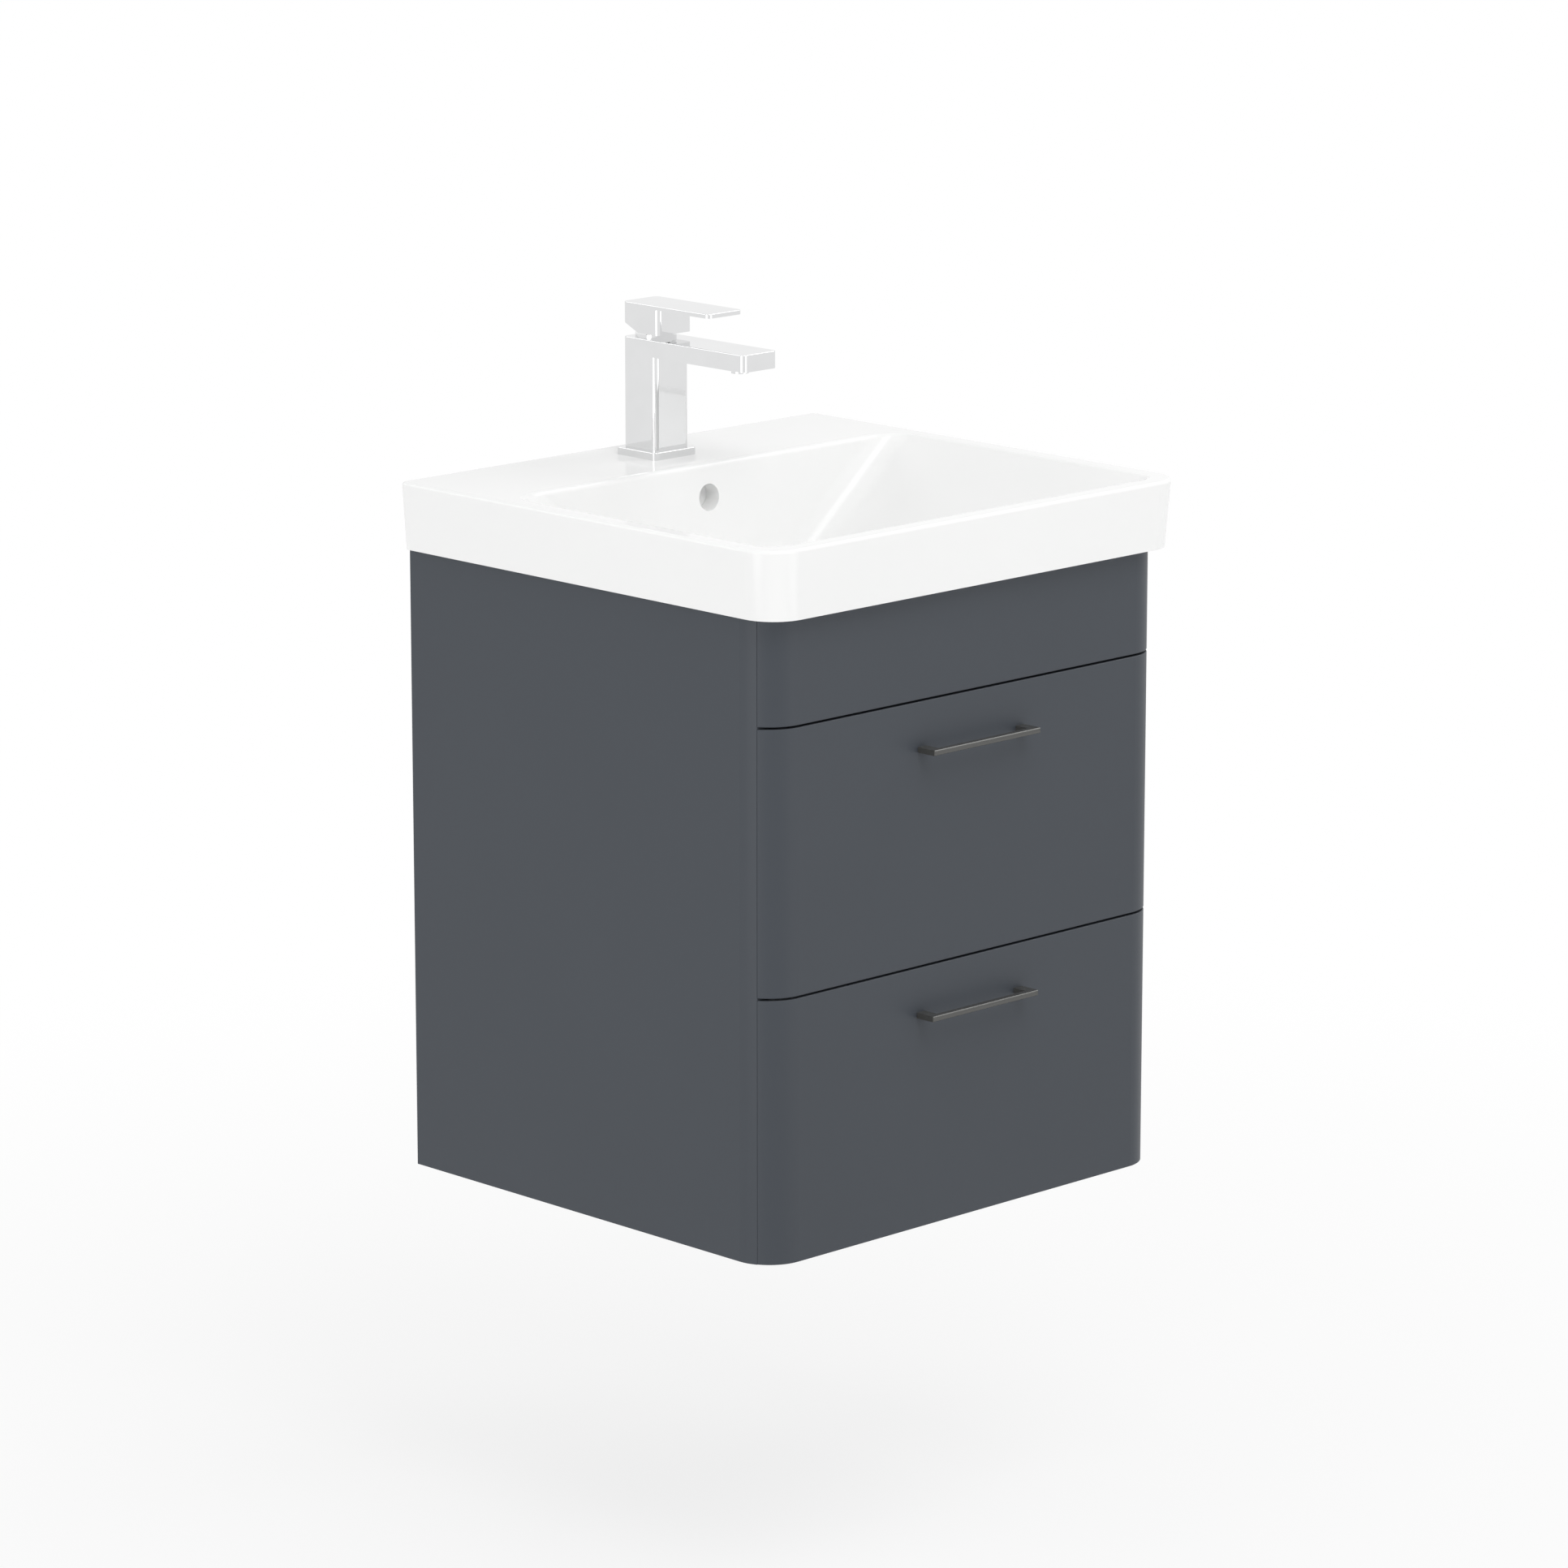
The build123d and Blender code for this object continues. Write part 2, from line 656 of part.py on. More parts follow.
def tap():
    def disc(radius, z0, z1, x=0.0, y=0.0):
        return rod(radius, (x, tap_y + y, z0), (x, tap_y + y, z1))

    plate_half = tap_plate_width / 2
    plate = block(-plate_half, plate_half, tap_y - plate_half, tap_y + plate_half, rim_top, tap_foot)
    plate = ease_top(fillet(upright_edges(plate), tap_edge))
    add("tap_base_plate", plate - disc(tap_plate_bore, rim_top, tap_foot))
    spout_tip = tap_y - spout_reach
    spout_under = tap_top - spout_thickness
    column = block(-tap_half, tap_half, tap_y - tap_half, tap_y + tap_half, tap_foot, tap_top)
    spout = block(-tap_half, tap_half, spout_tip, tap_y, spout_under, tap_top)
    body = fillet(upright_edges(column), tap_edge) + fillet(upright_edges(spout)[:2], tap_edge)
    body = ease_top(body)
    seat = tap_top - cartridge_length - collar_height
    body -= disc(cartridge_radius + cartridge_clearance, seat, tap_top)
    inlet_half = inlet_spacing / 2
    for side in (-1, 1):
        body -= disc(inlet_radius, tap_foot, tap_foot + inlet_depth, side * inlet_half, -inlet_forward)
    stud_hole = stud_radius + screw_clearance
    body -= disc(stud_hole, tap_foot, tap_foot + stud_depth, 0, stud_back)
    aerator_y = spout_tip + aerator_setback - tap_y
    aerator_foot, aerator_head = spout_under - aerator_drop, spout_under + aerator_depth
    body -= disc(aerator_radius + screw_clearance, spout_under, aerator_head, 0, aerator_y)
    add("tap_body", body)
    nozzle = disc(aerator_radius, aerator_foot, aerator_head, 0, aerator_y)
    nozzle -= disc(
        aerator_radius - aerator_wall, aerator_foot, aerator_foot + aerator_recess, 0, aerator_y,
    )
    add("tap_aerator", nozzle)
    tap_cartridge(disc, seat)
    deck_under = rim_top - deck_thickness
    clamp_foot = deck_under - clamp_thickness
    nut_foot = clamp_foot - clamp_nut_height
    clamp = disc(clamp_radius, clamp_foot, deck_under)
    clamp -= disc(stud_hole, clamp_foot, deck_under, 0, stud_back)
    mouth_half = clamp_mouth / 2
    mouth_back = tap_y + stud_back - stud_hole - clamp_web
    clamp -= block(
        -mouth_half, mouth_half, tap_y - clamp_radius, mouth_back, clamp_foot, deck_under,
    )
    add("tap_clamp_washer", clamp)
    nut = hex_bar(clamp_nut_flats, 0, tap_y + stud_back, nut_foot, clamp_foot)
    add("tap_clamp_nut", nut - disc(stud_hole, nut_foot, clamp_foot, 0, stud_back))
    add("tap_stud", disc(stud_radius, nut_foot - stud_tail, tap_foot + stud_depth, 0, stud_back))


def tap_cartridge(disc, seat):
    """The cartridge under its collar, the turret that swivels in it and the lever that tilts on it."""
    cartridge_top = seat + cartridge_length
    collar_top = tap_top + collar_height
    turret_top = collar_top - turret_collar_room
    turret_foot = turret_top - turret_length
    collar_radius = tap_half - collar_inset
    collar_bore = turret_radius + turret_collar_room
    collar = disc(collar_radius, tap_top, collar_top) + disc(cartridge_radius, cartridge_top, tap_top)
    add("tap_collar", collar - disc(collar_bore, cartridge_top, collar_top))
    cartridge = disc(cartridge_radius, seat, cartridge_top)
    add("tap_cartridge", cartridge - disc(turret_radius + turret_clearance, turret_foot, cartridge_top))
    slot_half = stem_width / 2 + turret_clearance
    stem_half = stem_length / 2
    slot = block(
        -slot_half, slot_half, tap_y - stem_half - turret_clearance,
        tap_y + stem_half + stem_swing_room, pivot_z - stem_half - turret_clearance, turret_top,
    )
    pin_half = turret_radius - pivot_pin_inset

    def crossbar(radius, half):
        return rod(radius, (-half, tap_y, pivot_z), (half, tap_y, pivot_z))

    turret = disc(turret_radius, turret_foot, turret_top) - slot
    add("tap_turret", turret - crossbar(pivot_pin_radius + pivot_clearance, turret_radius))
    add("tap_pivot_pin", crossbar(pivot_pin_radius, pin_half))
    lever_foot = tap_top + lever_gap
    stem_top = lever_foot + stem_grip
    stem_x = stem_width / 2
    shank = block(-stem_x, stem_x, tap_y - stem_half, tap_y + stem_half, pivot_z, stem_top)
    stem = shank + crossbar(stem_half, stem_x)
    add("tap_stem", stem - crossbar(pivot_pin_radius + pivot_clearance, stem_x))
    lever_top = tap_top + lever_rise
    rear = tap_y + tap_half
    plate_under = lever_top - lever_plate
    knob = block(-tap_half, tap_half, rear - lever_block_length, rear, lever_foot, lever_top)
    grip = block(-tap_half, tap_half, rear - lever_length, rear, plate_under, lever_top)
    lever = fillet(upright_edges(knob), tap_edge) + fillet(upright_edges(grip), tap_edge)
    lever = ease_top(lever)
    heel = Polyline(
        (rear, lever_foot), (rear - lever_heel_run, lever_foot), (rear, lever_foot + lever_heel_rise),
        close=True,
    )
    lever -= extrude(Plane.YZ * make_face(heel), amount=tap_half, both=True)
    socket_x, socket_y = stem_x + screw_clearance, stem_half + screw_clearance
    lever -= block(
        -socket_x, socket_x, tap_y - socket_y, tap_y + socket_y, lever_foot, stem_top,
    )
    add("tap_lever", lever)


carcass()
wall_hangers()
drawer("upper", upper_front_bottom, True)
drawer("lower", lower_front_bottom, False)
basin()
waste()
tap()

os.makedirs("parts", exist_ok=True)
for name, shape in parts.items():
    export_step(shape, f"parts/{name}.step")
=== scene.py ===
import json
from math import cos, pi, radians, sin, sqrt

import bmesh
import bpy
from mathutils import Matrix, Vector


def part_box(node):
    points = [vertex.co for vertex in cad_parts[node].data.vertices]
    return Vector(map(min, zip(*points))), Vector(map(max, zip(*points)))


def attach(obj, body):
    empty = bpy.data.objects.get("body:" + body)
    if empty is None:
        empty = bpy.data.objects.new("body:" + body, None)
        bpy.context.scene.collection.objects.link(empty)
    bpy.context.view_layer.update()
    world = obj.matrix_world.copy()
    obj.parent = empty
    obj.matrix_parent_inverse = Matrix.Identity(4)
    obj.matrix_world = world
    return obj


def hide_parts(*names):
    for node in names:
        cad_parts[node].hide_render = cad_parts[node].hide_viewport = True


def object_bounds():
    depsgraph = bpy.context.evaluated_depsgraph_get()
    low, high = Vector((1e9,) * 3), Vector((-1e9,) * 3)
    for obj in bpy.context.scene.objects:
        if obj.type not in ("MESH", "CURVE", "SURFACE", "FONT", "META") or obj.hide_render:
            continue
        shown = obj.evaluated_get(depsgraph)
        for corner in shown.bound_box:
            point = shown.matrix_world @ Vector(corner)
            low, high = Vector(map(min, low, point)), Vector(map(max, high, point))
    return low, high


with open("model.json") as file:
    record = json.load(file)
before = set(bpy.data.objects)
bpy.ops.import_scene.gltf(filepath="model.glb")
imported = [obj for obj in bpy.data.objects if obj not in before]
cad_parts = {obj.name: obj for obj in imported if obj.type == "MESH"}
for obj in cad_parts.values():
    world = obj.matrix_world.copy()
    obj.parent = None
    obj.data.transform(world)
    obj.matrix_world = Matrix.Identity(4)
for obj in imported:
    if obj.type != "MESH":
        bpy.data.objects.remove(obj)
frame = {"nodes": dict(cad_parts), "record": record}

# Bathroom vanity: finishes, small fastenings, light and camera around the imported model.
# Lengths are in metres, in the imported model's frame. Sizes of fastenings are in millimetres.

MM = 0.001
cad_box = [list(corner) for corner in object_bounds()]
middle = (Vector(cad_box[0]) + Vector(cad_box[1])) / 2
nodes = frame["nodes"]
slot_of = {part["node"]: part["material_slot"] for part in frame["record"]["subparts"]}


def put(name, data):
    """A new object in the scene."""
    made = bpy.data.objects.new(name, data)
    bpy.context.scene.collection.objects.link(made)
    return made


# Shader helpers. Most of a noise's values lie between these two.
noise_low, noise_high = 0.3, 0.7


class Finish:
    """A procedural material, with short calls for the nodes that it needs."""

    def __init__(self, name, **constants):
        self.material = bpy.data.materials.new(name)
        self.material.use_nodes = True
        self.tree = self.material.node_tree
        self.shader = self.tree.nodes["Principled BSDF"]
        for socket, value in constants.items():
            self.shader.inputs[socket.replace("_", " ")].default_value = value

    def node(self, kind, **settings):
        made = self.tree.nodes.new(kind)
        for key, value in settings.items():
            setattr(made, key, value)
        return made

    def link(self, source, target):
        self.tree.links.new(source, target)

    def place(self, scale=(1, 1, 1)):
        """The piece's own coordinates, stretched along each axis."""
        coordinates = self.node("ShaderNodeTexCoord")
        mapping = self.node("ShaderNodeMapping")
        mapping.inputs["Scale"].default_value = scale
        self.link(coordinates.outputs["Object"], mapping.inputs["Vector"])
        return mapping.outputs["Vector"]

    def noise(self, place, detail, scale=1):
        made = self.node("ShaderNodeTexNoise")
        made.inputs["Scale"].default_value = scale
        made.inputs["Detail"].default_value = detail
        self.link(place, made.inputs["Vector"])
        return made.outputs["Fac"]

    def wave(self, place, scale, distortion, direction):
        made = self.node("ShaderNodeTexWave", bands_direction=direction)
        made.inputs["Scale"].default_value = scale
        made.inputs["Distortion"].default_value = distortion
        self.link(place, made.inputs["Vector"])
        return made.outputs["Fac"]

    def between(self, factor, low, high, start=noise_low, end=noise_high, kind="LINEAR"):
        """A number that runs from low to high as the factor runs from start to end."""
        made = self.node("ShaderNodeMapRange", interpolation_type=kind)
        for socket, value in (("From Min", start), ("From Max", end), ("To Min", low), ("To Max", high)):
            made.inputs[socket].default_value = value
        self.link(factor, made.inputs["Value"])
        return made.outputs["Result"]

    def colours(self, factor, low, high, start=noise_low, end=noise_high):
        """A colour that runs from low to high as the factor runs from start to end."""
        made = self.node("ShaderNodeValToRGB")
        for element, position, colour in zip(made.color_ramp.elements, (start, end), (low, high)):
            element.position = position
            element.color = (*colour, 1)
        self.link(factor, made.inputs["Fac"])
        return made.outputs["Color"]

    def add(self, first, second):
        made = self.node("ShaderNodeMath", operation="ADD")
        self.link(first, made.inputs[0])
        self.link(second, made.inputs[1])
        return made.outputs["Value"]

    def base(self, colour):
        self.link(colour, self.shader.inputs["Base Color"])

    def rough(self, value):
        self.link(value, self.shader.inputs["Roughness"])

    def bump(self, height, strength, distance):
        made = self.node("ShaderNodeBump")
        made.inputs["Strength"].default_value = strength
        made.inputs["Distance"].default_value = distance
        self.link(height, made.inputs["Height"])
        self.link(made.outputs["Normal"], self.shader.inputs["Normal"])


def shade(colour, factor):
    return tuple(channel * factor for channel in colour)


# Finishes, one for each material slot of the record
def lacquer():
    slate = (0.0525, 0.06, 0.0715)
    made = Finish("satin_lacquer", Specular_IOR_Level=0.3)
    place = made.place()
    cloud = made.noise(place, scale=7, detail=4)
    made.base(made.colours(cloud, low=shade(slate, 0.988), high=shade(slate, 1.012)))
    made.rough(made.between(made.noise(place, scale=160, detail=3), low=0.46, high=0.48))
    made.bump(made.noise(place, scale=900, detail=2), strength=0.04, distance=0.05 * MM)
    return made.material


def melamine(name, colour):
    """Faced board with a faint woven grain."""
    made = Finish(name, Specular_IOR_Level=0.4)
    place = made.place()
    weave = made.add(*[made.wave(place, scale=260, distortion=1.5, direction=way) for way in "XZ"])
    cloud = made.noise(place, scale=60, detail=5)
    grain = made.add(cloud, weave)
    made.base(made.colours(grain, low=shade(colour, 0.9), high=shade(colour, 1.08), start=0.6, end=1.0))
    made.rough(made.between(cloud, low=0.42, high=0.55))
    made.bump(weave, strength=0.08, distance=0.1 * MM)
    return made.material


def plated_steel(name, bright, dark):
    """Rolled steel with fine lines along its length and a patchy zinc bloom."""
    made = Finish(name, Metallic=1.0)
    bloom = made.noise(made.place(), scale=90, detail=5)
    lines = made.noise(made.place(scale=(900, 12, 900)), detail=2)
    made.base(made.colours(bloom, low=dark, high=bright))
    made.rough(made.between(made.add(bloom, lines), low=0.26, high=0.42, start=0.7, end=1.3))
    made.bump(lines, strength=0.08, distance=0.05 * MM)
    return made.material


def gunmetal():
    """Steel under a thin dark coat that lets its brush lines through."""
    made = Finish("gunmetal", Metallic=0.3, Anisotropic=0.4)
    lines = made.noise(made.place(scale=(14, 1600, 1600)), detail=3)
    made.base(made.colours(lines, low=(0.078, 0.078, 0.075), high=(0.092, 0.092, 0.088)))
    made.rough(made.between(lines, low=0.20, high=0.28))
    made.bump(lines, strength=0.06, distance=0.03 * MM)
    return made.material


def glaze():
    """Fired white glaze, glossy and very slightly wavy."""
    made = Finish("white_glaze", Specular_IOR_Level=0.3)
    place = made.place()
    cloud = made.noise(place, scale=5, detail=3)
    made.base(made.colours(cloud, low=(0.888, 0.89, 0.886), high=(0.9, 0.902, 0.898)))
    made.rough(made.between(made.noise(place, scale=18, detail=3), low=0.08, high=0.12))
    made.bump(made.noise(place, scale=26, detail=2), strength=0.03, distance=0.4 * MM)
    return made.material


def chrome():
    made = Finish("polished_chrome", Metallic=1.0)
    place = made.place()
    cloud = made.noise(place, scale=30, detail=3)
    made.base(made.colours(cloud, low=(0.73, 0.733, 0.737), high=(0.755, 0.758, 0.762)))
    made.rough(made.between(made.noise(place, scale=140, detail=4), low=0.03, high=0.06))
    return made.material


def turned_brass():
    """Brass with the fine rings that turning leaves."""
    made = Finish("turned_brass", Metallic=1.0)
    cloud = made.noise(made.place(), scale=120, detail=4)
    rings = made.noise(made.place(scale=(30, 30, 2400)), detail=2)
    made.base(made.colours(cloud, low=(0.50, 0.37, 0.16), high=(0.66, 0.52, 0.25)))
    made.rough(made.between(rings, low=0.24, high=0.40))
    made.bump(rings, strength=0.15, distance=0.05 * MM)
    return made.material


def rubber():
    made = Finish("seal_rubber", Specular_IOR_Level=0.3)
    grain = made.noise(made.place(), scale=700, detail=4)
    made.base(made.colours(grain, low=(0.018, 0.018, 0.019), high=(0.03, 0.03, 0.031)))
    made.rough(made.between(grain, low=0.6, high=0.8))
    made.bump(grain, strength=0.2, distance=0.1 * MM)
    return made.material


def moulding(name, colour, roughness):
    """Moulded plastic with a fine spark-eroded grain."""
    made = Finish(name, Specular_IOR_Level=0.45)
    place = made.place()
    grain = made.noise(place, scale=1100, detail=3)
    cloud = made.noise(place, scale=25, detail=3)
    made.base(made.colours(cloud, low=shade(colour, 0.95), high=shade(colour, 1.05)))
    made.rough(made.between(grain, low=roughness - 0.06, high=roughness + 0.06))
    made.bump(grain, strength=0.12, distance=0.08 * MM)
    return made.material


def beech():
    """Bare wood with its grain along X, the way that most of the dowels lie."""
    made = Finish("beech", Specular_IOR_Level=0.3)
    grain = made.noise(made.place(scale=(60, 400, 400)), detail=5)
    made.base(made.colours(grain, low=(0.42, 0.27, 0.14), high=(0.6, 0.43, 0.26)))
    made.rough(made.between(grain, low=0.5, high=0.7))
    made.bump(grain, strength=0.15, distance=0.1 * MM)
    return made.material


finish_of = {
    "front_lacquer": lacquer(),
    "carcass_board": melamine("slate_melamine", colour=(0.10, 0.107, 0.118)),
    "drawer_board": melamine("grey_melamine", colour=(0.40, 0.405, 0.41)),
    "runner_steel": plated_steel("runner_zinc", bright=(0.62, 0.63, 0.64), dark=(0.5, 0.51, 0.52)),
    "hanger_steel": plated_steel("hanger_zinc", bright=(0.60, 0.59, 0.55), dark=(0.46, 0.46, 0.44)),
    "handle_steel": gunmetal(),
    "basin_glaze": glaze(),
    "tap_chrome": chrome(),
    "fixing_brass": turned_brass(),
    "seal_rubber": rubber(),
    "bearing_nylon": moulding("nylon", colour=(0.72, 0.71, 0.68), roughness=0.45),
    "surround_plastic": moulding("surround_grey", colour=(0.30, 0.305, 0.31), roughness=0.5),
    "dowel_beech": beech(),
}

for name, solid in nodes.items():
    solid.data.materials.clear()
    solid.data.materials.append(finish_of[slot_of[name]])


# Forms of the small fastenings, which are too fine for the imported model.
# Each is made along the Z axis of its place.

# A pan head's rings, as shares of its radius and height
pan_head = ((1.0, 0.0), (1.0, 0.35), (0.88, 0.75), (0.62, 1.0))
# A cross recess's reach and half width, as shares of the head's radius
recess_mouth, recess_floor = (0.50, 0.14), (0.30, 0.09)
# Its depth, as a share of the head's height
recess_depth = 0.65
# As many steps to a ring as a cross recess has points
round_steps = 24
hexagon_sides = 6
weld_distance = 0.01 * MM
sharp_angle = radians(35)
upward, downward, backward = (0, 0, 1), (0, 0, -1), (0, 1, 0)


def facing(spot, way):
    """A place at a spot, with its Z axis along the way."""
    turn = Vector(way).to_track_quat("Z", "Y").to_matrix().to_4x4()
    return Matrix.Translation(spot) @ turn


def ring(bm, place, radius, height, count=round_steps):
    angles = [2 * pi * step / count for step in range(count)]
    return [bm.verts.new(place @ Vector((radius * cos(a), radius * sin(a), height))) for a in angles]


def cross(bm, place, reach, half, height):
    """The outline of a cross recess, with as many points as a ring."""
    middle_arm = (reach + half) / 2
    quarter = (
        (reach, 0), (reach, half), (middle_arm, half), (half, half), (half, middle_arm), (half, reach),
    )
    points = []
    for turn in range(4):
        spin = Matrix.Rotation(turn * pi / 2, 4, "Z")
        points += [bm.verts.new(place @ spin @ Vector((x, y, height))) for x, y in quarter]
    return points


def skin(bm, rings):
    """Faces from each ring to the next."""
    for low, high in zip(rings, rings[1:]):
        for step, corner in enumerate(low):
            after = (step + 1) % len(low)
            bm.faces.new((corner, low[after], high[after], high[step]))


def screw(bm, place, head, height, shank, length):
    """A pan-head screw with a cross recess, its head standing on the place."""
    rings = [ring(bm, place, shank, -length), ring(bm, place, shank, 0)]
    rings += [ring(bm, place, share * head, rise * height) for share, rise in pan_head]
    for (reach, half), depth in ((recess_mouth, 0), (recess_floor, recess_depth)):
        rings.append(cross(bm, place, reach * head, half * head, (1 - depth) * height))
    skin(bm, rings)
    bm.faces.new(rings[0])
    bm.faces.new(rings[-1])


def thread(bm, place, crest, root, pitch, length, bore=0.0):
    """A helical thread on a rod, or on a tube where it has a bore, standing on the place."""
    count = 2 * round_steps
    foot, head = ring(bm, place, root, 0, count), ring(bm, place, root, length, count)
    points = {}

    def point(row, step):
        """A point of the helix. A turn has two rows, the even one on the root, the odd one on the crest."""
        if step == count:
            row, step = row + 2, 0
        height = (row / 2 + step / count - 1) * pitch
        if height <= 0:
            return foot[step]
        if height >= length:
            return head[step]
        if (row, step) not in points:
            radius, angle = crest if row % 2 else root, 2 * pi * step / count
            spot = Vector((radius * cos(angle), radius * sin(angle), height))
            points[row, step] = bm.verts.new(place @ spot)
        return points[row, step]

    # The helix starts a turn below the foot and ends past the head
    rows = 2 * int(length / pitch) + 4
    for row in range(rows):
        for step in range(count):
            around = ((row, step), (row, step + 1), (row + 1, step + 1), (row + 1, step))
            corners = list(dict.fromkeys(point(*corner) for corner in around))
            if len(corners) > 2:
                bm.faces.new(corners)
    if bore:
        skin(bm, [foot, ring(bm, place, bore, 0, count), ring(bm, place, bore, length, count), head])
    else:
        bm.faces.new(foot)
        bm.faces.new(head)


def screen(bm, place, radius, rim, cell, wall, thickness):
    """A round screen of hexagonal openings in a rim."""
    outer, inner = cell / sqrt(3), (cell - wall) / sqrt(3)
    reach = int(radius / cell) + 1
    for row in range(-reach, reach + 1):
        for column in range(-reach, reach + 1):
            centre = Vector(((column + row / 2) * cell, row * cell * sqrt(3) / 2, 0))
            if centre.length < radius - rim:
                spot = place @ Matrix.Translation(centre) @ Matrix.Rotation(pi / hexagon_sides, 4, "Z")
                skin(bm, [ring(bm, spot, size, 0, hexagon_sides) for size in (outer, inner)])
    bmesh.ops.remove_doubles(bm, verts=bm.verts, dist=weld_distance)
    flat, border = bm.faces[:], [edge.verts[:] for edge in bm.edges if edge.is_boundary]
    along = place.to_3x3() @ Vector((0, 0, thickness))
    raised = {vert: bm.verts.new(vert.co + along) for vert in bm.verts[:]}
    for face in flat:
        bm.faces.new([raised[vert] for vert in face.verts])
    for first, second in border:
        bm.faces.new((first, second, raised[second], raised[first]))
    section = ((radius, 0), (radius, thickness), (radius - rim, thickness), (radius - rim, 0))
    edge = [ring(bm, place, *corner) for corner in section]
    skin(bm, edge + edge[:1])


def piece(name, body, slot, make, places, *sizes, stands_for=None):
    """One piece of like fastenings, which rides on a body and has the finish of a slot."""
    bm = bmesh.new()
    for place in places:
        make(bm, place, *[size * MM for size in sizes])
    bmesh.ops.recalc_face_normals(bm, faces=bm.faces)
    mesh = bpy.data.meshes.new(name)
    bm.to_mesh(mesh)
    bm.free()
    mesh.polygons.foreach_set("use_smooth", [True] * len(mesh.polygons))
    mesh.set_sharp_from_angle(angle=sharp_angle)
    mesh.materials.append(finish_of[slot])
    made = put(name, mesh)
    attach(made, body)
    if stands_for:
        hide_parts(stands_for)


# Sizes of the screws: head radius, head height, shank radius and shank length.
# The last two take their length from the solid that they stand for.
front_screw = (4.5, 2.4, 2.0, 26.0)
runner_screw = (3.4, 1.6, 1.8, 9.0)
handle_screw = (3.2, 2.2, 1.5)
adjuster = (5.0, 3.0, 3.0)
# Thickness of a runner's web
runner_steel = 1.2
# Places of the screws, as shares of the way along the piece that they go through
front_screws_across, front_screws_up = (0.12, 0.88), (0.26, 0.79)
runner_screws_along = (0.08, 0.36, 0.64, 0.92)


def spots_along(low, high, shares):
    """Points between two levels, by their share of the way."""
    return [low + share * (high - low) for share in shares]


def runner_places(drawer, bar, side, way):
    """Screw places along a runner bar's web, on the face that looks along the way."""
    hand = "right" if side > 0 else "left"
    low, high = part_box(f"{drawer}_{hand}_runner_{bar}")
    seat = high.x if way < 0 else low.x
    face, level = seat + way * runner_steel * MM, (low.z + high.z) / 2
    depths = spots_along(low.y, high.y, runner_screws_along)
    return [facing((face, depth, level), (way, 0, 0)) for depth in depths]


def drawer_screws(drawer):
    """Screws for a drawer's front, its handle and the sliders on its sides."""
    body = f"{drawer}_drawer"
    low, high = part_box(f"{drawer}_box_front")
    columns = spots_along(low.x, high.x, front_screws_across)
    levels = spots_along(low.z, high.z, front_screws_up)
    places = [facing((column, high.y, level), backward) for column in columns for level in levels]
    piece(f"{drawer}_front_screws", body, "hanger_steel", screw, places, *front_screw)
    low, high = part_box(f"{drawer}_handle_screws")
    head, height, shank = handle_screw
    seat, level = high.y - height * MM, (low.z + high.z) / 2
    columns = (low.x + head * MM, high.x - head * MM)
    places = [facing((column, seat, level), backward) for column in columns]
    piece(
        f"{drawer}_handle_fixings", body, "hanger_steel", screw, places,
        head, height, shank, (seat - low.y) / MM, stands_for=f"{drawer}_handle_screws",
    )
    places = [place for side in (-1, 1) for place in runner_places(drawer, "slider", side, side)]
    piece(f"{drawer}_slider_screws", body, "hanger_steel", screw, places, *runner_screw)


def channel_screws():
    """Screws that hold the runners' channels to the cabinet's sides."""
    places = [
        place
        for drawer in ("upper", "lower") for side in (-1, 1)
        for place in runner_places(drawer, "channel", side, -side)
    ]
    piece("runner_channel_screws", "cabinet", "hanger_steel", screw, places, *runner_screw)


def hanger_screws():
    """Adjusting screws of the wall hangers, with their heads below."""
    low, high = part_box("hanger_adjusters")
    head, height, shank = adjuster
    seat, depth = low.z + height * MM, (low.y + high.y) / 2
    columns = (low.x + head * MM, high.x - head * MM)
    places = [facing((column, depth, seat), downward) for column in columns]
    piece(
        "hanger_adjuster_screws", "cabinet", "hanger_steel", screw, places,
        head, height, shank, (high.z - seat) / MM, stands_for="hanger_adjusters",
    )


def stud_thread():
    """The tap's fixing stud."""
    low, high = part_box("tap_stud")
    foot = facing((0, (low.y + high.y) / 2, low.z), upward)
    crest, root, pitch = (high.x - low.x) / 2 / MM, 3.4, 1.25
    piece(
        "tap_stud_thread", "cabinet", "fixing_brass", thread, [foot],
        crest, root, pitch, (high.z - low.z) / MM, stands_for="tap_stud",
    )


def tail_thread():
    """The thread on the waste's tail, up to its back nut."""
    low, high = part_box("waste_body")
    foot = facing((0, (low.y + high.y) / 2, low.z), upward)
    crest, root, pitch, bore = 21.35, 20.9, 2.31, 20.7
    length = (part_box("waste_backnut")[0].z - low.z) / MM
    piece("waste_tail_thread", "cabinet", "tap_chrome", thread, [foot], crest, root, pitch, length, bore)


def aerator_screen():
    """The screen inside the spout's aerator."""
    low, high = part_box("tap_aerator")
    radius, rim, cell, wall, thickness, inset = 5.95, 0.7, 1.5, 0.35, 0.6, 2.2
    mouth = facing((0, (low.y + high.y) / 2, low.z + inset * MM), downward)
    piece("aerator_screen", "cabinet", "bearing_nylon", screen, [mouth], radius, rim, cell, wall, thickness)


drawer_screws("upper")
drawer_screws("lower")
channel_screws()
hanger_screws()
stud_thread()
tail_thread()
aerator_screen()


# Camera: a long lens, looking down at the left front corner. Sensor and lens are in millimetres.
sensor, lens = 36.0, 152.82
camera_place = (-3.9651, -4.2826, 1.1532)
camera_yaw, camera_pitch = radians(44.2925), radians(12.999)
far_clip = 60.0


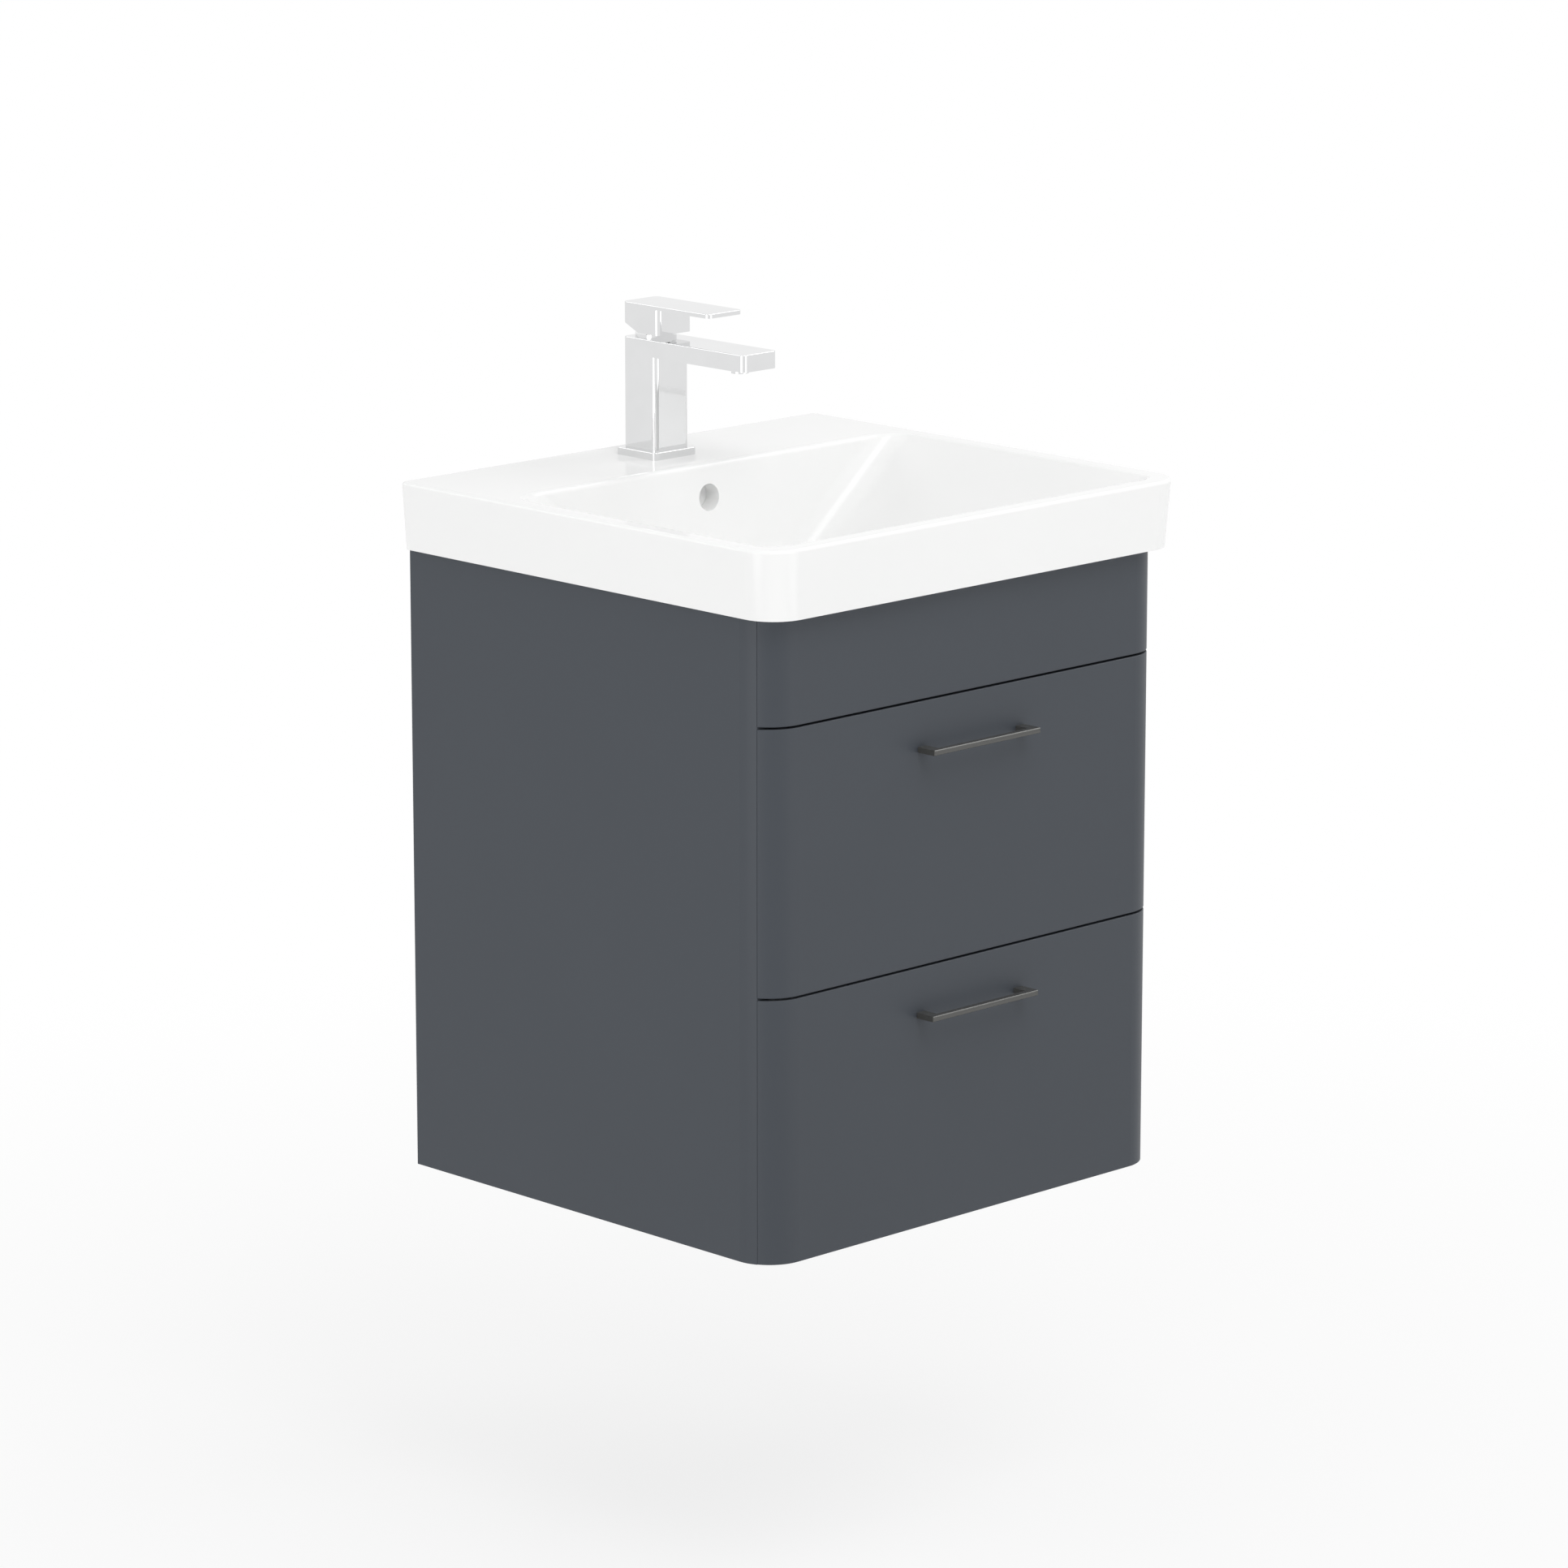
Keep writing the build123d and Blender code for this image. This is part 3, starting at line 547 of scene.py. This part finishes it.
def camera():
    data = bpy.data.cameras.new("camera")
    data.sensor_width = sensor
    data.lens = lens
    data.clip_end = far_clip
    made = put("camera", data)
    made.location = camera_place
    made.rotation_euler = (pi / 2 - camera_pitch, 0, -camera_yaw)
    bpy.context.scene.camera = made


# Light: a pale room with soft boxes at the left, the front and above, and two strips for the edges.
# The room has one strength as a light, and another as the camera and mirrors see it.
room_light, room_white = 0.6, 1.0
white = (1, 1, 1, 1)
# Watts of a lamp of one square metre that has a radiance of 1
lamp_watts = 4


def soft_box(name, place, size, radiance):
    """A flat lamp that faces the object, as bright as a surface of this radiance."""
    width, height = size
    data = bpy.data.lights.new(name, "AREA")
    data.shape = "RECTANGLE"
    data.size, data.size_y = width, height
    data.energy = lamp_watts * width * height * radiance
    made = put(name, data)
    made.location = place
    made.rotation_euler = (middle - Vector(place)).to_track_quat("-Z", "Y").to_euler()


def seen_directly(tree):
    """A factor that is 1 where the camera, a mirror or glass sees the surface, and 0 for its light."""
    path = tree.nodes.new("ShaderNodeLightPath")
    total = path.outputs["Is Camera Ray"]
    for kind in ("Is Glossy Ray", "Is Transmission Ray"):
        either = tree.nodes.new("ShaderNodeMath")
        either.operation = "MAXIMUM"
        tree.links.new(total, either.inputs[0])
        tree.links.new(path.outputs[kind], either.inputs[1])
        total = either.outputs["Value"]
    return total


def room():
    """Soft light from all round, in a room that looks plain white."""
    world = bpy.data.worlds.new("room")
    bpy.context.scene.world = world
    world.use_nodes = True
    tree = world.node_tree
    mix = tree.nodes.new("ShaderNodeMixShader")
    tree.links.new(seen_directly(tree), mix.inputs["Fac"])
    backgrounds = (tree.nodes["Background"], tree.nodes.new("ShaderNodeBackground"))
    for background, strength, socket in zip(backgrounds, (room_light, room_white), mix.inputs[1:]):
        background.inputs["Color"].default_value = white
        background.inputs["Strength"].default_value = strength
        tree.links.new(background.outputs["Background"], socket)
    tree.links.new(mix.outputs["Shader"], tree.nodes["World Output"].inputs["Surface"])


# Floor: how far below the object it lies, how far it reaches, and the share of plain white in it,
# which grows from the first to the second between two distances from the object's middle
floor_drop, floor_reach = 0.30, 14.0
white_share_near, white_share_far = 0.74, 1.0
fade_start, fade_end = 0.2, 2.0


def floor():
    """A pale floor that keeps the object's shadow and fades to plain white away from it."""
    mesh = bpy.data.meshes.new("floor")
    corners = [(x * floor_reach, y * floor_reach, 0) for x, y in ((-1, -1), (1, -1), (1, 1), (-1, 1))]
    mesh.from_pydata(corners, [], [(0, 1, 2, 3)])
    made = put("floor", mesh)
    made.location = (middle.x, middle.y, cad_box[0][2] - floor_drop)
    paint = Finish("floor_paint", Roughness=0.9, Specular_IOR_Level=0.0)
    place = paint.place()
    cloud = paint.noise(place, scale=3, detail=3)
    paint.base(paint.colours(cloud, low=(0.885, 0.885, 0.885), high=(0.9, 0.9, 0.9)))
    away = paint.node("ShaderNodeVectorMath", operation="LENGTH")
    paint.link(place, away.inputs[0])
    fade = paint.between(
        away.outputs["Value"], white_share_near, white_share_far, fade_start, fade_end, kind="SMOOTHSTEP",
    )
    share = paint.node("ShaderNodeMath", operation="MULTIPLY")
    paint.link(seen_directly(paint.tree), share.inputs[0])
    paint.link(fade, share.inputs[1])
    mix = paint.node("ShaderNodeMixShader")
    paint.link(share.outputs["Value"], mix.inputs["Fac"])
    paint.link(paint.shader.outputs["BSDF"], mix.inputs[1])
    paint.link(paint.node("ShaderNodeEmission").outputs["Emission"], mix.inputs[2])
    paint.link(mix.outputs["Shader"], paint.tree.nodes["Material Output"].inputs["Surface"])
    mesh.materials.append(paint.material)


camera()
room()
floor()
soft_box("left_box", place=(-2.65, -0.5, -0.1), size=(1.2, 1.5), radiance=2.0)
soft_box("front_box", place=(0.8, -3.05, -0.1), size=(1.2, 1.4), radiance=1.1)
soft_box("top_box", place=(-0.45, -1.9, 2.2), size=(1.7, 1.7), radiance=2.5)
soft_box("right_strip", place=(2.05, -0.9, 2.0), size=(0.9, 1.6), radiance=2.6)
soft_box("back_strip", place=(-1.83, 1.87, 1.15), size=(1.6, 0.7), radiance=2.0)
bpy.context.scene.view_settings.view_transform = "Standard"
# The lever's underside and the spout's top mirror each other many times
bpy.context.scene.cycles.glossy_bounces = 12
